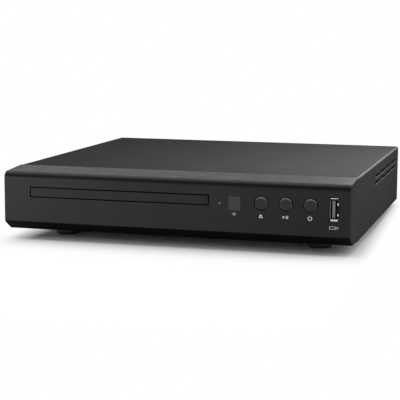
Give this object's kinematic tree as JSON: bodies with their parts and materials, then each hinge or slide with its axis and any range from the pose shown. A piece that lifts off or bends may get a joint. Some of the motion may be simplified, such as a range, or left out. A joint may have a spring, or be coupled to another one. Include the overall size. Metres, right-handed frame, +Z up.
{
  "type": "disc player with tray",
  "caption": "Compact disc player: a low black steel case with a motor-driven disc tray, push buttons and a data socket in front, its mechanism and circuit boards inside.",
  "frame": {"origin": "centre of the footprint, on the surface that the feet stand on", "axes": "+X to the right seen from the front, +Y to the back, +Z up; the front panel faces -Y"},
  "size_m": [0.24, 0.2486, 0.0484],
  "materials": {
    "chassis_pan": "plain galvanised sheet",
    "top_cover": "fine satin black paint on sheet steel",
    "rear_panel": "satin black paint",
    "front_panel": "fine grained moulding",
    "cover_screws": "black zinc",
    "foot_front_left": "smooth moulded",
    "foot_front_right": "smooth moulded",
    "foot_rear_left": "smooth moulded",
    "foot_rear_right": "smooth moulded",
    "ir_window": "dark tinted moulding",
    "indicator_led": "clear red moulding",
    "usb_shell": "plated pressed shell",
    "usb_tongue": "moulded",
    "front_board": "lacquered laminate",
    "button_switches": "moulded",
    "ir_receiver": "moulded",
    "loader_frame": "moulded",
    "inner_screws": "zinc plated",
    "clamper_bridge": "galvanised sheet",
    "tray_motor": "drawn can",
    "drive_belt": "moulded rubber",
    "main_board": "lacquered laminate",
    "decoder_chip": "moulded",
    "main_board_parts": "mixed cans and mouldings",
    "hdmi_socket": "plated pressed shell",
    "video_jack": "moulded",
    "audio_jack_left": "moulded",
    "audio_jack_right": "moulded",
    "coaxial_jack": "moulded",
    "power_board": "paper laminate",
    "power_transformer": "taped winding",
    "power_board_parts": "mixed cans and mouldings",
    "mains_inlet": "moulded",
    "inlet_pins": "turned brass",
    "front_ribbon": "flat insulated leads",
    "loader_ribbon": "flat insulated leads",
    "power_ribbon": "flat insulated leads",
    "disc_tray": "fine grained moulding",
    "tray_fascia": "fine grained moulding",
    "drive_gear": "natural moulding",
    "belt_wheel": "natural moulding",
    "motor_pulley": "white moulding",
    "cam_slider": "natural moulding",
    "traverse_frame": "moulded",
    "traverse_plate": "galvanised sheet",
    "traverse_dampers": "soft rubber",
    "spindle_motor": "drawn can",
    "guide_rods": "ground steel",
    "feed_motor": "drawn can",
    "turntable": "moulded with a grippy rim",
    "feed_screw": "rolled steel",
    "pickup_sled": "die cast",
    "pickup_flex": "polyester film",
    "lens_holder": "moulded",
    "objective_lens": "coated",
    "clamper_puck": "white moulding",
    "clamper_magnet": "nickel plated",
    "eject_button": "satin moulding",
    "play_button": "satin moulding",
    "power_button": "satin moulding"
  },
  "bodies": {
    "case": {"chassis_pan": "chassis_pan", "top_cover": "top_cover", "rear_panel": "rear_panel", "front_panel": "front_panel", "cover_screws": "cover_screws", "foot_front_left": "foot_front_left", "foot_front_right": "foot_front_right", "foot_rear_left": "foot_rear_left", "foot_rear_right": "foot_rear_right", "ir_window": "ir_window", "indicator_led": "indicator_led", "usb_shell": "usb_shell", "usb_tongue": "usb_tongue", "front_board": "front_board", "button_switches": "button_switches", "ir_receiver": "ir_receiver", "loader_frame": "loader_frame", "inner_screws": "inner_screws", "clamper_bridge": "clamper_bridge", "tray_motor": "tray_motor", "drive_belt": "drive_belt", "main_board": "main_board", "decoder_chip": "decoder_chip", "main_board_parts": "main_board_parts", "hdmi_socket": "hdmi_socket", "video_jack": "video_jack", "audio_jack_left": "audio_jack_left", "audio_jack_right": "audio_jack_right", "coaxial_jack": "coaxial_jack", "power_board": "power_board", "power_transformer": "power_transformer", "power_board_parts": "power_board_parts", "mains_inlet": "mains_inlet", "inlet_pins": "inlet_pins", "front_ribbon": "front_ribbon", "loader_ribbon": "loader_ribbon", "power_ribbon": "power_ribbon"},
    "tray": {"disc_tray": "disc_tray", "tray_fascia": "tray_fascia"},
    "drive_gear": {"drive_gear": "drive_gear"},
    "belt_wheel": {"belt_wheel": "belt_wheel"},
    "motor_pulley": {"motor_pulley": "motor_pulley"},
    "cam": {"cam_slider": "cam_slider"},
    "drive_unit": {"traverse_frame": "traverse_frame", "traverse_plate": "traverse_plate", "traverse_dampers": "traverse_dampers", "spindle_motor": "spindle_motor", "guide_rods": "guide_rods", "feed_motor": "feed_motor"},
    "turntable": {"turntable": "turntable"},
    "feed_screw": {"feed_screw": "feed_screw"},
    "pickup": {"pickup_sled": "pickup_sled", "pickup_flex": "pickup_flex"},
    "lens": {"lens_holder": "lens_holder", "objective_lens": "objective_lens"},
    "clamper": {"clamper_puck": "clamper_puck", "clamper_magnet": "clamper_magnet"},
    "eject": {"eject_button": "eject_button"},
    "play": {"play_button": "play_button"},
    "power": {"power_button": "power_button"}
  },
  "joints": [
    {"name": "tray_slide", "type": "slide", "parent": "case", "child": "tray", "axis": [0, -1, 0], "range_m": [0, 0.13]},
    {"name": "drive_gear_spin", "type": "hinge", "parent": "case", "child": "drive_gear", "pos_m": [-0.0836, -0.0773, 0.028], "axis": [0, 0, 1], "continuous": true},
    {"name": "belt_wheel_spin", "type": "hinge", "parent": "case", "child": "belt_wheel", "pos_m": [-0.0836, -0.0563, 0.025], "axis": [0, 0, 1], "continuous": true},
    {"name": "motor_pulley_spin", "type": "hinge", "parent": "case", "child": "motor_pulley", "pos_m": [-0.0856, -0.0233, 0.0225], "axis": [0, 0, 1], "continuous": true},
    {"name": "cam_shift", "type": "slide", "parent": "case", "child": "cam", "axis": [1, 0, 0], "range_m": [0, 0.02]},
    {"name": "traverse_lift", "type": "hinge", "parent": "case", "child": "drive_unit", "pos_m": [-0.0376, 0.0487, 0.01975], "axis": [-1, 0, 0], "range_deg": [0, 3]},
    {"name": "turntable_spin", "type": "hinge", "parent": "drive_unit", "child": "turntable", "pos_m": [-0.0376, -0.05569, 0.02454], "axis": [0, -0.0523, 0.9986], "continuous": true},
    {"name": "pickup_slide", "type": "slide", "parent": "drive_unit", "child": "pickup", "axis": [0, 0.9986, 0.0523], "range_m": [0, 0.034]},
    {"name": "feed_screw_spin", "type": "hinge", "parent": "drive_unit", "child": "feed_screw", "pos_m": [-0.0056, -0.01365, 0.02474], "axis": [0, 0.9986, 0.0523], "continuous": true},
    {"name": "lens_focus", "type": "slide", "parent": "pickup", "child": "lens", "axis": [0, -0.0523, 0.9986], "range_m": [-0.0005, 0.0007], "stiffness_N_per_m": 60},
    {"name": "clamper_spin", "type": "hinge", "parent": "case", "child": "clamper", "pos_m": [-0.0376, -0.0553, 0.041], "axis": [0, 0, 1], "continuous": true},
    {"name": "eject_press", "type": "slide", "parent": "case", "child": "eject", "axis": [0, 1, 0], "range_m": [0, 0.0005], "stiffness_N_per_m": 200},
    {"name": "play_press", "type": "slide", "parent": "case", "child": "play", "axis": [0, 1, 0], "range_m": [0, 0.0005], "stiffness_N_per_m": 200},
    {"name": "power_press", "type": "slide", "parent": "case", "child": "power", "axis": [0, 1, 0], "range_m": [0, 0.0005], "stiffness_N_per_m": 200}
  ],
  "couplings": [
    {"joint": "drive_gear_spin", "follows": "tray_slide", "rad_per_m": -142.86},
    {"joint": "belt_wheel_spin", "follows": "tray_slide", "rad_per_m": 285.71},
    {"joint": "motor_pulley_spin", "follows": "tray_slide", "rad_per_m": 1362.6},
    {"joint": "traverse_lift", "follows": "cam_shift", "rad_per_m": 2.618},
    {"joint": "feed_screw_spin", "follows": "pickup_slide", "rad_per_m": 2094.4}
  ]
}
